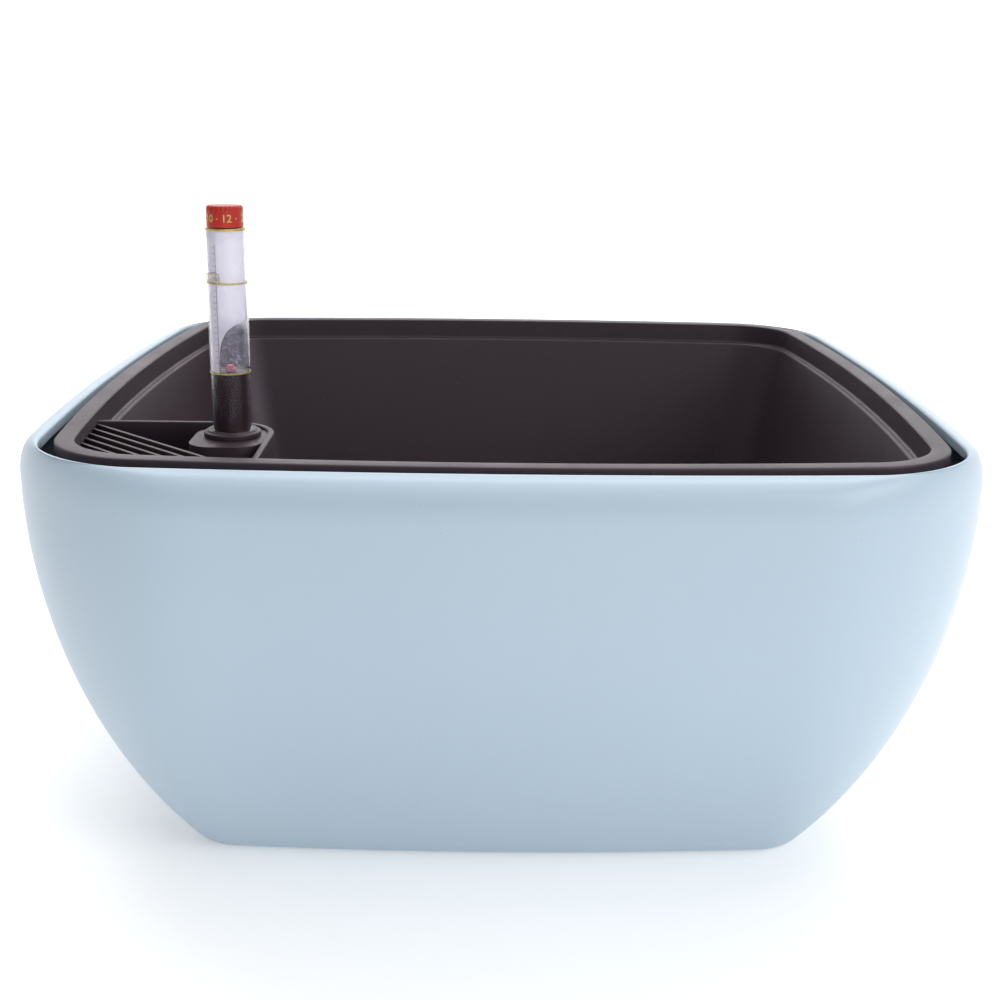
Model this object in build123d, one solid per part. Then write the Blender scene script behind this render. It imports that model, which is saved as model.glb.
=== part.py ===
from build123d import *
import math
import os

# Self-watering planter. A bowl-sided square pot holds the water. A liner with a planting
# cavity hangs inside it on four wick baskets that stand on the pot floor, and its front left
# corner is a filling pocket with a grille and a float gauge.
# Millimetres, +Z up. Origin on the ground at the middle of the pot; the front faces -Y.

# Pot
width = 400.0             # side to side at the widest place
pot_height = 181.5        # ground to the crest of the lip
lip_rise = 16.5           # widest place up to the crest
lip_inset = 14.0          # widest place in to the mouth, at mid-side
flare = 65.0              # how far a side leans out from the base to the widest place
girth_corner = 93.0       # corner radius at the widest place
base_corner = 20.0        # corner radius where the sides would meet the ground
girth_bow = 1600.0        # radius of the slightly bowed sides there
mouth_corner = 50.0
mouth_bow = 2100.0
pot_wall = 4.0
base_round = 10.0         # rounding of the bottom edge
foot_depth = 2.5          # hollow under the floor, inside the foot ring
foot_ring = 11.0
pot_floor = 4.0           # thickness
lip_thickness = 5.5
crest_land = 0.8          # flat left on the crest outside the mouth

# Drain bung in the pot floor
drain_radius = 9.0
bung_flange_radius = 14.0
bung_flange = 3.0
bung_grip_height = 7.0
bung_grip_width = 4.0
bung_travel_clearance = 0.3
seal_thickness = 1.5

# Liner
lip_gap = 4.5             # liner rim to the pot mouth
rim_above_crest = 0.8
rim_corner = 40.0
rim_bow = 1450.0
rim_width = 7.75
rim_thickness = 2.2
skirt_height = 6.5
band_corner = 32.0
band_depth = 10.5         # upright band below the rim
ledge_width = 2.5
wall_taper = 11.2         # degrees from upright
liner_wall = 2.5
liner_corner_taper = 5.0  # corner radius lost from the ledge down to the floor
reservoir_depth = 51.5    # pot floor to the underside of the liner floor
drip_hole_radius = 3.0
drip_hole_pitch = 38.0

# Filling pocket and its grille
partition_wall = 2.5
partition_drop = 4.3      # top edge below the rim
partition_corner = 20.0   # centre line
rear_run_offset = 20.75    # gauge axis back to the partition's centre line
side_run_offset = 15.3    # gauge axis across to it
grille_drop = 5.3         # bar tops below the rim
bar_count = 6
bar_width = 1.5
bar_height = 4.5
bar_pitch = 5.6
first_bar_offset = 29.6   # gauge axis to the first bar, square to the bars
spine_width = 2.6
spine_height = 6.0
fill_hole_radius = 6.0
fill_hole_pitch = 19.0
fill_hole_gap = 5.0       # seat to the edge of a filling hole

# Gauge seat, collar and lower guide, which stay in the liner
gauge_inset_x = 63.25     # liner band in to the gauge axis
gauge_inset_y = 61.75
seat_left = 15.5          # gauge axis to each face of the seat
seat_front = 21.5
seat_rear = 13.0
seat_corner = 10.0
seat_wall = 2.2
seat_top = 2.5
seat_side_gap = 0.3
collar_height = 3.0
collar_shoulder = 2.0     # collar out past the spigot
spigot_wall = 1.7
spigot_length = 9.0
guide_flange = 1.5
guide_seat_gap = 0.3
guide_below = 3.0
gauge_clearance = 0.3     # stem to collar bore

# Gauge, which lifts out
stem_radius = 7.5
stem_wall = 1.25
tube_wall = 0.5
tube_length = 80.0
stem_above_collar = 23.6
stem_floor_gap = 4.5
stem_wall_gap = 2.5
stem_slot_count = 4
stem_slot_width = 2.0
stem_slot_length = 30.0
foot_thickness = 2.0
foot_spigot = 3.0
foot_hole_radius = 3.0
stem_guide_length = 4.0
band_thickness = 0.15
band_height = 0.9
middle_band_above = 35.9  # stem top up to the middle band
film_gap = 0.3
film_thickness = 0.4
film_start = 110.0        # degrees, first edge of the scale film
film_span = 235.0

# Dial on top
plug_insert = 3.5
ring_height = 0.8
spindle_radius = 3.0
spindle_height = 6.5
spindle_clearance = 0.05
cap_height = 8.5
cap_inset = 0.7           # cap's foot in from the tube's outside
cap_taper = 0.1           # radius lost up to its top
cap_round = 1.2
cap_gap = 0.3
cap_grips = 12
cap_grip_radius = 0.7

# Float
float_clearance = 0.55
float_length = 38.0
float_gap = 0.5           # float to the stem's foot when the pot is empty
rod_radius = 1.2
rod_clearance = 0.08
tip_radius = 2.0
tip_height = 2.2
tip_gap = 0.4             # tip above the stem top when the pot is empty

# Wick baskets
basket_top_radius = 26.0
basket_foot_radius = 21.0
basket_wall = 2.0
basket_flange_radius = 30.0
basket_flange = 2.0
basket_clearance = 0.3
basket_partition_gap = 18.0
basket_slots = 10
basket_slot_width = 3.0
basket_slot_margin = 7.0
basket_hole_radius = 2.5
basket_hole_circle = 11.0
basket_holes = 6

# Derived places
half_width = width / 2
girth_height = pot_height - lip_rise
side_radius = (flare ** 2 + girth_height ** 2) / (2 * flare)
mouth_half = half_width - lip_inset
floor_top = foot_depth + pot_floor

rim_half = mouth_half - lip_gap
rim_top = pot_height + rim_above_crest
band_half = rim_half - rim_width
ledge_z = rim_top - band_depth
liner_under = floor_top + reservoir_depth
liner_floor = liner_under + liner_wall
wall_half = band_half - ledge_width
wall_corner = band_corner - ledge_width
wall_bow = rim_bow - rim_width - ledge_width
wall_slope = math.tan(math.radians(wall_taper))

gauge_x = gauge_inset_x - band_half
gauge_y = gauge_inset_y - band_half
partition_top = rim_top - partition_drop
side_run_x = gauge_x + side_run_offset
rear_run_y = gauge_y + rear_run_offset
seat_z = rim_top - grille_drop
collar_top = seat_z + collar_height
stem_top = collar_top + stem_above_collar
stem_bore = stem_radius - stem_wall
tube_radius = stem_radius + tube_wall
tube_top = collar_top + tube_length
gauge_bore = stem_radius + gauge_clearance
spigot_radius = gauge_bore + spigot_wall
collar_radius = spigot_radius + collar_shoulder
cap_radius = tube_radius - cap_inset
cap_top_radius = cap_radius - cap_taper


def side_inset(z):
    # How far the pot's side stands in from the widest place, at height z below it.
    return side_radius - math.sqrt(side_radius ** 2 - (girth_height - z) ** 2)


def corner_reach(half, corner, bow):
    # Distance from the middle to a corner's centre, along X or Y.
    back = bow - half
    return (math.sqrt(2 * (bow - corner) ** 2 - back ** 2) - back) / 2


def rounded_square(half, corner, bow, z):
    # Four slightly bowed sides joined by four tangent corner arcs, as a face at height z.
    back = bow - half
    reach = corner_reach(half, corner, bow)
    side_angle = math.degrees(math.atan2(reach, reach + back))
    edges = []
    for turn in range(4):
        heading = 90 * turn
        side = CenterArc((-back, 0), bow, -side_angle, 2 * side_angle)
        bend = CenterArc((reach, reach), corner, side_angle, 90 - 2 * side_angle)
        edges += [Rot(0, 0, heading) * side, Rot(0, 0, heading) * bend]
    return Pos(0, 0, z) * make_face(Curve() + edges)


def prism(half, corner, bow, low, high):
    return extrude(rounded_square(half, corner, bow, low), high - low)


def pot_section(inset, z, wall=0.0):
    # The pot's plan at height z, moved in by inset from the widest place and then by a wall.
    corner = girth_corner - (girth_corner - base_corner) * inset / flare
    return rounded_square(half_width - inset - wall, corner - wall, girth_bow - inset - wall, z)


def side_sections(low, wall=0.0, steps=15):
    # Plans up the bowed side, from a low height to just short of the widest place.
    heights = [low + (girth_height - low) * step / steps for step in range(steps)]
    return [pot_section(side_inset(z), z, wall) for z in heights]


def shoulder_sections(wall, rise, last_angle, steps=10):
    # Plans up a quarter-round shoulder, from the widest place in to the mouth.
    start_half = half_width - wall
    start_corner = girth_corner - wall
    sections = []
    for step in range(steps + 1):
        angle = math.radians(last_angle * step / steps)
        share = 1 - math.cos(angle)
        half = start_half + (mouth_half - start_half) * share
        corner = start_corner + (mouth_corner - start_corner) * share
        bow = girth_bow + (mouth_bow - girth_bow) * share
        sections.append(rounded_square(half, corner, bow, girth_height + rise * math.sin(angle)))
    return sections


def base_arc():
    # The bottom edge's arc touches the ground and the side: its centre's inset and end angle.
    reach = side_radius - base_round
    depth = girth_height - base_round
    run = math.sqrt(reach ** 2 - depth ** 2)
    return side_radius - run, -math.atan2(depth, run)


def base_sections(steps=6):
    # Plans up the pot's rounded bottom edge, from the ground to just short of the side.
    centre_inset, end_angle = base_arc()
    sections = []
    for step in range(steps):
        angle = -math.pi / 2 + (end_angle + math.pi / 2) * step / steps
        inset = centre_inset - base_round * math.cos(angle)
        sections.append(pot_section(inset, base_round * (1 + math.sin(angle))))
    return sections


def tube(outer, inner, low, high, x=0.0, y=0.0):
    height = high - low
    ring = Circle(outer) - Circle(inner)
    return Pos(x, y, low) * extrude(ring, height)


def rod(radius, low, high, x=0.0, y=0.0):
    return Pos(x, y, low) * extrude(Circle(radius), high - low)


def block(x0, x1, y0, y1, z0, z1):
    middle = Pos((x0 + x1) / 2, (y0 + y1) / 2, (z0 + z1) / 2)
    return middle * Box(x1 - x0, y1 - y0, z1 - z0)


def make_outer_pot():
    # Base, bowed sides and rolled lip, hollowed to an even wall, with a foot ring beneath.
    side_low = base_round * (1 + math.sin(base_arc()[1]))
    crest_angle = math.degrees(math.acos(crest_land / lip_inset))
    outside = base_sections() + side_sections(side_low) + shoulder_sections(0.0, lip_rise, crest_angle)
    inside_rise = lip_rise - lip_thickness
    inside = side_sections(floor_top, pot_wall) + shoulder_sections(pot_wall, inside_rise, 80.0)
    hollow = loft(inside, ruled=True)
    hollow += prism(mouth_half, mouth_corner, mouth_bow, girth_height + 0.8 * inside_rise, pot_height + 1)
    under = extrude(pot_section(base_arc()[0], 0, foot_ring), foot_depth)
    return loft(outside, ruled=True) - hollow - under - rod(drain_radius, 0, floor_top + 1)


def make_drain_plug():
    # Push-in bung with a grip bar, pulled up from inside the empty pot.
    flange_low = floor_top + seal_thickness
    flange_high = flange_low + bung_flange
    plug = rod(drain_radius - bung_travel_clearance, foot_depth + 1, flange_low)
    plug += rod(bung_flange_radius, flange_low, flange_high)
    grip_reach = bung_flange_radius - 3
    plug += block(-grip_reach, grip_reach, -bung_grip_width / 2, bung_grip_width / 2,
                  flange_high, flange_high + bung_grip_height)
    return plug


def make_drain_seal():
    inner = drain_radius - bung_travel_clearance
    return tube(bung_flange_radius - 1, inner, floor_top, floor_top + seal_thickness)


def liner_section(extra, z):
    # The tapered wall's plan at height z, grown by extra.
    drop = ledge_z - z
    half = wall_half - drop * wall_slope + extra
    corner = wall_corner - liner_corner_taper * drop / (ledge_z - liner_floor) + extra
    return rounded_square(half, corner, wall_bow - drop * wall_slope + extra, z)


def liner_hollow(floor_z):
    # Everything inside the liner's walls, up through the rim.
    taper = loft([liner_section(0, floor_z), liner_section(0, ledge_z)], ruled=True)
    return taper + prism(band_half, band_corner, rim_bow - rim_width, ledge_z, rim_top + 1)


def pocket_region(shift, low, high):
    # The corner cut off by the partition's centre line, grown by shift.
    radius = partition_corner + shift
    x = side_run_x + shift
    y = rear_run_y + shift
    region = block(-width, x, -width, y, low, high)
    corner_edge = region.edges().filter_by(Axis.Z).sort_by(Axis.X)[-2:].sort_by(Axis.Y)[-1]
    return fillet(corner_edge, radius)


def basket_centres():
    # Baskets on the diagonals, held clear of the partition's rounded corner.
    corner_mean = -(side_run_x + rear_run_y) / 2 + partition_corner
    reach = partition_corner + partition_wall / 2 + basket_flange_radius + basket_partition_gap
    offset = corner_mean - reach / math.sqrt(2)
    names = {"front_left": (-1, -1), "front_right": (1, -1), "rear_left": (-1, 1), "rear_right": (1, 1)}
    return {name: (sx * offset, sy * offset) for name, (sx, sy) in names.items()}


def drip_hole_places():
    # A square grid over the planting floor that keeps off the pocket and the baskets.
    centres = basket_centres().values()
    keep_off = basket_flange_radius + 2 * drip_hole_radius
    floor_half = wall_half - (ledge_z - liner_floor) * wall_slope
    count = int((floor_half - 3 * drip_hole_radius) / drip_hole_pitch - 0.5)
    places = []
    for column in range(-count, count + 1):
        for row in range(-count, count + 1):
            x = column * drip_hole_pitch
            y = row * drip_hole_pitch
            in_pocket = x < side_run_x + keep_off / 2 and y < rear_run_y + keep_off / 2
            near_basket = any(math.hypot(x - cx, y - cy) < keep_off for cx, cy in centres)
            if not in_pocket and not near_basket:
                places.append((x, y))
    return places


def make_liner():
    # Rim with a turned-down skirt, upright band, tapered walls and floor, and the partition.
    rim_bow_in = rim_bow - rim_width + liner_wall
    shell = loft([liner_section(liner_wall, liner_under), liner_section(liner_wall, ledge_z)], ruled=True)
    shell += prism(band_half + liner_wall, band_corner + liner_wall, rim_bow_in,
                   ledge_z - liner_wall, rim_top)
    pocket = pocket_region(partition_wall / 2, liner_floor, partition_top)
    partition = (pocket - pocket_region(-partition_wall / 2, liner_floor, partition_top)) & shell
    shell = shell - liner_hollow(liner_floor) + partition
    rim = prism(rim_half, rim_corner, rim_bow, rim_top - skirt_height, rim_top)
    rim -= prism(rim_half - rim_thickness, rim_corner - rim_thickness, rim_bow - rim_thickness,
                 rim_top - skirt_height, rim_top - rim_thickness)
    rim -= prism(band_half, band_corner, rim_bow - rim_width, rim_top - skirt_height, rim_top)
    liner = shell + rim
    for x, y in basket_centres().values():
        liner -= rod(basket_top_radius + basket_clearance, liner_under - 1, liner_floor + 1, x, y)
    for x, y in drip_hole_places():
        liner -= rod(drip_hole_radius, liner_under - 1, liner_floor + 1, x, y)
    fill_x = gauge_x - seat_left - fill_hole_gap - fill_hole_radius
    for step in (-0.5, 0.5):
        liner -= rod(fill_hole_radius, liner_under - 1, liner_floor + 1, fill_x,
                     gauge_y + step * fill_hole_pitch)
    liner -= rod(spigot_radius, liner_under - 1, liner_floor + 1, gauge_x, gauge_y)
    return liner


def make_wick_basket(x, y):
    # Slotted cup that holds soil in the water, hung in the liner floor and standing on the pot.
    height = liner_floor - floor_top
    body = loft([Pos(0, 0, floor_top) * Circle(basket_foot_radius),
                 Pos(0, 0, liner_floor) * Circle(basket_top_radius)], ruled=True)
    body += rod(basket_flange_radius, liner_floor, liner_floor + basket_flange)
    inner_low = floor_top + basket_wall
    inside = loft([Pos(0, 0, inner_low) * Circle(basket_foot_radius - basket_wall),
                   Pos(0, 0, liner_floor + basket_flange) * Circle(basket_top_radius - basket_wall)],
                  ruled=True)
    basket = body - inside
    slot_low = floor_top + basket_slot_margin
    slot_high = floor_top + height - liner_wall - basket_slot_margin
    for turn in range(basket_slots):
        slot = block(basket_foot_radius - 2 * basket_wall, basket_top_radius + 1,
                     -basket_slot_width / 2, basket_slot_width / 2, slot_low, slot_high)
        basket -= Rot(0, 0, 360 * (turn + 0.5) / basket_slots) * slot
    for turn in range(basket_holes):
        angle = math.radians(360 * turn / basket_holes)
        basket -= rod(basket_hole_radius, floor_top - 1, inner_low + 1,
                      basket_hole_circle * math.cos(angle), basket_hole_circle * math.sin(angle))
    return Pos(x, y, 0) * basket


def make_fill_grille():
    # Diagonal bars across the corner, joined by a spine beneath them.
    top = seat_z
    low = top - bar_height
    reach = 2 * gauge_inset_x + 2 * gauge_inset_y
    bars = []
    for step in range(bar_count):
        distance = first_bar_offset + bar_pitch * step
        bar = block(-distance - bar_width / 2, -distance + bar_width / 2, -reach, reach, low, top)
        bars.append(Pos(gauge_x, gauge_y, 0) * Rot(0, 0, 45) * bar)
    last = first_bar_offset + bar_pitch * (bar_count - 1)
    spine = block(-last, -first_bar_offset, -spine_width / 2, spine_width / 2,
                  low - spine_height / 2, low + spine_height / 4)
    bars.append(Pos(gauge_x, gauge_y, 0) * Rot(0, 0, 45) * spine)
    pocket = pocket_region(-partition_wall / 2, low - spine_height, top)
    space = pocket & liner_hollow(liner_floor)
    grille = Part() + [bar & space for bar in bars]
    return grille


def make_gauge_seat():
    # Hollow post on the pocket floor that carries the collar.
    x0 = gauge_x - seat_left
    x1 = side_run_x - partition_wall / 2 - seat_side_gap
    y0 = gauge_y - seat_front
    y1 = gauge_y + seat_rear
    middle = Pos((x0 + x1) / 2, (y0 + y1) / 2, liner_floor)
    outside = RectangleRounded(x1 - x0, y1 - y0, seat_corner)
    inside = RectangleRounded(x1 - x0 - 2 * seat_wall, y1 - y0 - 2 * seat_wall, seat_corner - seat_wall)
    height = seat_z - liner_floor
    post = middle * (extrude(outside, height) - extrude(inside, height - seat_top))
    post -= rod(spigot_radius, liner_floor, seat_z + 1, gauge_x, gauge_y)
    notch_low = liner_floor + guide_flange + 2
    notch = block(x0 - 1, x0 + 2 * seat_wall, gauge_y - 5, gauge_y + 5, notch_low, notch_low + 16)
    return post - notch


def make_gauge_collar():
    collar = tube(collar_radius, gauge_bore, seat_z, collar_top, gauge_x, gauge_y)
    return collar + tube(spigot_radius, gauge_bore, seat_z - spigot_length, seat_z, gauge_x, gauge_y)


def make_lower_guide():
    # Bush in the pocket floor, inside the foot of the seat.
    seat_right = side_run_offset - partition_wall / 2 - seat_side_gap
    flange = min(seat_left, seat_front, seat_rear, seat_right) - seat_wall - guide_seat_gap
    guide = tube(flange, gauge_bore, liner_floor, liner_floor + guide_flange, gauge_x, gauge_y)
    return guide + tube(spigot_radius, gauge_bore, liner_under - guide_below, liner_floor,
                        gauge_x, gauge_y)


def stem_bottom():
    # As low as the pot floor and the pot's rounded inside corner allow.
    girth_reach = corner_reach(half_width, girth_corner, girth_bow) * math.sqrt(2) + girth_corner
    stem_reach = math.hypot(gauge_x, gauge_y) + stem_radius
    spare = girth_reach - pot_wall - stem_wall_gap - stem_reach
    wall_z = girth_height - math.sqrt(side_radius ** 2 - (side_radius - spare) ** 2)
    return max(floor_top + stem_floor_gap, wall_z)


def make_gauge_stem():
    # Dark inner tube down into the water, slotted near its foot.
    low = stem_bottom() + foot_thickness
    stem = tube(stem_radius, stem_bore, low, stem_top)
    slot_low = low + foot_spigot
    slot_high = min(slot_low + stem_slot_length, liner_under - guide_below - 2)
    for turn in range(stem_slot_count):
        slot = block(0, stem_radius + 1, -stem_slot_width / 2, stem_slot_width / 2, slot_low, slot_high)
        stem -= Rot(0, 0, 45 + 360 * turn / stem_slot_count) * slot
    return Pos(gauge_x, gauge_y, 0) * stem


def make_stem_foot():
    low = stem_bottom()
    foot = tube(stem_radius, foot_hole_radius, low, low + foot_thickness, gauge_x, gauge_y)
    top = low + foot_thickness + foot_spigot
    return foot + tube(stem_bore, stem_bore - 1.0, low + foot_thickness, top, gauge_x, gauge_y)


def make_stem_guide():
    bore = rod_radius + rod_clearance
    return tube(stem_bore, bore, stem_top - stem_guide_length, stem_top, gauge_x, gauge_y)


def make_sight_tube():
    return tube(tube_radius, stem_radius, collar_top, tube_top, gauge_x, gauge_y)


def make_scale_insert():
    # Curled film that lines part of the tube.
    outer = stem_radius - film_gap
    low = stem_top + film_gap
    high = tube_top - plug_insert - film_gap
    film = tube(outer, outer - film_thickness, low, high)
    sector = Part() + [Rot(0, 0, film_start) * block(-outer, outer, 0, outer + 1, low, high),
                       Rot(0, 0, film_start + film_span - 180) * block(-outer, outer, 0, outer + 1, low, high)]
    return Pos(gauge_x, gauge_y, 0) * (film & sector)


def make_level_bands():
    bands = []
    for z in (stem_top, stem_top + middle_band_above):
        bands.append(tube(tube_radius + band_thickness, tube_radius, z - band_height / 2,
                          z + band_height / 2, gauge_x, gauge_y))
    return Part() + bands


def make_dial_plug():
    plug = rod(stem_radius, tube_top - plug_insert, tube_top, gauge_x, gauge_y)
    return plug + rod(spindle_radius, tube_top, tube_top + ring_height + cap_gap + spindle_height,
                      gauge_x, gauge_y)


def make_dial_ring():
    return tube(tube_radius, spindle_radius, tube_top, tube_top + ring_height, gauge_x, gauge_y)


def make_dial_cap():
    # Month dial: a tapered cap with shallow grips round its top edge.
    low = tube_top + ring_height + cap_gap
    cap = loft([Circle(cap_radius), Pos(0, 0, cap_height) * Circle(cap_top_radius)], ruled=True)
    cap = fillet(cap.edges().sort_by(Axis.Z)[-1], cap_round)
    grip_low = cap_height - cap_round - 0.4
    for turn in range(cap_grips):
        grip = Pos(cap_top_radius + cap_grip_radius / 2, 0, grip_low) * Cylinder(
            cap_grip_radius, cap_height, align=(Align.CENTER, Align.CENTER, Align.MIN))
        cap -= Rot(0, 0, 360 * turn / cap_grips) * grip
    cap -= rod(spindle_radius + spindle_clearance, 0, spindle_height + spindle_clearance)
    return Pos(gauge_x, gauge_y, low) * cap


def float_low():
    return stem_bottom() + foot_thickness + foot_spigot + float_gap


def make_float():
    low = float_low()
    body = rod(stem_bore - float_clearance, low, low + float_length, gauge_x, gauge_y)
    return body


def make_float_rod():
    return rod(rod_radius, float_low() + float_length, stem_top + tip_gap, gauge_x, gauge_y)


def make_indicator_tip():
    low = stem_top + tip_gap
    tip = rod(tip_radius, low, low + tip_height, gauge_x, gauge_y)
    return fillet(tip.edges().sort_by(Axis.Z)[-1], tip_radius * 0.4)


nodes = {
    "outer_pot": make_outer_pot(),
    "drain_plug": make_drain_plug(),
    "drain_plug_seal": make_drain_seal(),
    "liner": make_liner(),
    "fill_grille": make_fill_grille(),
    "gauge_seat": make_gauge_seat(),
    "gauge_collar": make_gauge_collar(),
    "lower_guide": make_lower_guide(),
    "gauge_stem": make_gauge_stem(),
    "stem_foot": make_stem_foot(),
    "stem_guide": make_stem_guide(),
    "sight_tube": make_sight_tube(),
    "scale_insert": make_scale_insert(),
    "level_bands": make_level_bands(),
    "dial_plug": make_dial_plug(),
    "dial_ring": make_dial_ring(),
    "dial_cap": make_dial_cap(),
    "float": make_float(),
    "float_rod": make_float_rod(),
    "indicator_tip": make_indicator_tip(),
}
for place, (x, y) in basket_centres().items():
    nodes["wick_basket_" + place] = make_wick_basket(x, y)

os.makedirs("parts", exist_ok=True)
for name, solid in nodes.items():
    export_step(solid, "parts/" + name + ".step")
    box = solid.bounding_box()
    print(name, len(solid.solids()), "solids", round(solid.volume / 1000, 1), "cm3",
          "z", round(box.min.Z, 2), round(box.max.Z, 2))
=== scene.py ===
import math
import bmesh
import bpy
from mathutils import Matrix, Vector


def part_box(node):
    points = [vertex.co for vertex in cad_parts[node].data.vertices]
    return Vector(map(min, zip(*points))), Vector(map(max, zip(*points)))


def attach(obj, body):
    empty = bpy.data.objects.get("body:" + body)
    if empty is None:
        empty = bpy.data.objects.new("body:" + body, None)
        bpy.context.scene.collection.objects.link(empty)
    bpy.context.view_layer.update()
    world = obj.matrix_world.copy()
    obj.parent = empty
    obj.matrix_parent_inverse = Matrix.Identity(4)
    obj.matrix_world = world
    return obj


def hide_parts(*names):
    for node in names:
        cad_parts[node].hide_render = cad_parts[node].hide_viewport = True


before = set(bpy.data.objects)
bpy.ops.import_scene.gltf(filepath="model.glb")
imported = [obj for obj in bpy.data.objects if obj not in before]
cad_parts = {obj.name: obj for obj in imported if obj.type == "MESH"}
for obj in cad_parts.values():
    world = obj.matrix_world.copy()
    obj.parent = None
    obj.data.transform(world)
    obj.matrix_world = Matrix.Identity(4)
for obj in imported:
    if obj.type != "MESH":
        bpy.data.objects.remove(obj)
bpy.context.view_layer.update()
print("frame loaded")

potLow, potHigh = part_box("outer_pot")
linerLow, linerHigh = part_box("liner")
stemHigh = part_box("gauge_stem")[1]
tubeLow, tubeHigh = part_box("sight_tube")
capLow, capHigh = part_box("dial_cap")
seatLow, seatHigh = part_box("gauge_seat")
gaugeX = (tubeLow.x + tubeHigh.x) / 2
gaugeY = (tubeLow.y + tubeHigh.y) / 2
cameraSide = math.radians(-80)        # the gauge's side that faces the camera


class Value:
    # a node socket that can be added, multiplied and so on
    def __init__(self, tree, socket):
        self.tree = tree
        self.socket = socket

    def maths(self, operation, *others):
        node = self.tree.nodes.new("ShaderNodeMath")
        node.operation = operation
        for place, other in enumerate((self,) + others):
            feed(self.tree, node.inputs[place], other)
        return Value(self.tree, node.outputs[0])

    def __add__(self, other):
        return self.maths("ADD", other)

    def __sub__(self, other):
        return self.maths("SUBTRACT", other)

    def __mul__(self, other):
        return self.maths("MULTIPLY", other)

    def __truediv__(self, other):
        return self.maths("DIVIDE", other)

    def blend(self, low, high):
        # low where self is 0, high where it is 1
        return (high - low) * self + low


def feed(tree, socket, value):
    if isinstance(value, Value):
        tree.links.new(value.socket, socket)
    else:
        socket.default_value = value


def newGeometryTree(name, inputs):
    tree = bpy.data.node_groups.new(name, "GeometryNodeTree")
    tree.interface.new_socket("Geometry", in_out="INPUT", socket_type="NodeSocketGeometry")
    for label, kind, start in inputs:
        socket = tree.interface.new_socket(label, in_out="INPUT", socket_type="NodeSocket" + kind)
        if start is not None:
            socket.default_value = start
    tree.interface.new_socket("Geometry", in_out="OUTPUT", socket_type="NodeSocketGeometry")
    source = tree.nodes.new("NodeGroupInput")
    return tree, {socket.name: Value(tree, socket) for socket in source.outputs if socket.name}


def addNode(tree, kind, inputs, output=0, **settings):
    node = tree.nodes.new(kind)
    for key, value in settings.items():
        setattr(node, key, value)
    for key, value in inputs.items():
        feed(tree, node.inputs[key], value)
    return Value(tree, node.outputs[output])


def endTree(tree, geometry, material):
    whole = addNode(tree, "GeometryNodeRealizeInstances", {"Geometry": geometry})
    painted = addNode(tree, "GeometryNodeSetMaterial", {"Geometry": whole, "Material": material})
    sink = tree.nodes.new("NodeGroupOutput")
    tree.links.new(painted.socket, sink.inputs[0])


def bakeModifiers(piece):
    # the result of the modifiers becomes the piece's own plain mesh
    bpy.context.view_layer.update()
    graph = bpy.context.evaluated_depsgraph_get()
    mesh = bpy.data.meshes.new_from_object(piece.evaluated_get(graph))
    piece.modifiers.clear()
    piece.data = mesh
    return piece


def runTree(piece, tree, values):
    modifier = piece.modifiers.new(tree.name, "NODES")
    modifier.node_group = tree
    for item in tree.interface.items_tree:
        if item.in_out == "INPUT" and item.name in values:
            modifier[item.identifier] = values[item.name]
    return bakeModifiers(piece)


def newObject(name, data):
    thing = bpy.data.objects.new(name, data)
    bpy.context.scene.collection.objects.link(thing)
    return thing


def newPiece(name, vertices, faces):
    mesh = bpy.data.meshes.new(name)
    mesh.from_pydata(vertices, [], faces)
    return newObject(name, mesh)


def smoothShade(piece, degrees=35):
    piece.data.shade_smooth()
    piece.data.set_sharp_from_angle(angle=math.radians(degrees))
    return piece


def finishPiece(piece, material, body, slotName, *nodes):
    if material is not None:
        piece.data.materials.clear()
        piece.data.materials.append(material)
    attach(piece, body)
    if nodes:
        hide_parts(*nodes)
    return piece


def softProfile(corners, steps=5):
    # corners are (distance, height, rounding); each one becomes an arc tangent to its two sides
    points = []
    for place, (x, z, radius) in enumerate(corners):
        if radius <= 0 or place in (0, len(corners) - 1):
            points.append((x, z))
            continue
        here = Vector((x, z))
        before = (Vector(corners[place - 1][:2]) - here).normalized()
        after = (Vector(corners[place + 1][:2]) - here).normalized()
        half = before.angle(after) / 2
        if half > math.radians(89):
            points.append((x, z))
            continue
        middle = here + (before + after).normalized() * radius / math.sin(half)
        start = here + before * radius / math.tan(half) - middle
        end = here + after * radius / math.tan(half) - middle
        turn = start.angle_signed(end)
        for step in range(steps + 1):
            spoke = start.copy()
            spoke.rotate(Matrix.Rotation(-turn * step / steps, 2))
            points.append(tuple(middle + spoke))
    return points


def onGauge(radius, angle, z):
    # a point that far from the gauge's axis, at an angle and a height
    return (gaugeX + radius * math.cos(angle), gaugeY + radius * math.sin(angle), z)


def lathePiece(name, profile, segments=96, closed=False):
    # Turned on the gauge's axis. profile is (radius, height); a radius of 0 at an end is a pole, and a
    # closed profile is a ring.
    vertices = []
    rows = []
    for radius, z in profile:
        first = len(vertices)
        if radius < 1e-9:
            vertices.append((gaugeX, gaugeY, z))
            rows.append([first])
            continue
        for step in range(segments):
            angle = 2 * math.pi * step / segments
            vertices.append(onGauge(radius, angle, z))
        rows.append(list(range(first, first + segments)))
    faces = []
    pairs = list(zip(rows, rows[1:] + rows[:1])) if closed else list(zip(rows, rows[1:]))
    for low, high in pairs:
        for step in range(segments):
            after = (step + 1) % segments
            ring = [low[step % len(low)], low[after % len(low)],
                    high[after % len(high)], high[step % len(high)]]
            faces.append(list(dict.fromkeys(ring)))
    piece = newPiece(name, vertices, faces)
    return smoothShade(outward(piece))


def outward(piece):
    # merged points, and every face turned out: a shell whose volume comes out negative is turned over
    work = bmesh.new()
    work.from_mesh(piece.data)
    bmesh.ops.remove_doubles(work, verts=work.verts, dist=1e-6)
    bmesh.ops.recalc_face_normals(work, faces=work.faces)
    if work.calc_volume(signed=True) < 0:
        bmesh.ops.reverse_faces(work, faces=work.faces)
    work.to_mesh(piece.data)
    work.free()
    return piece


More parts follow.
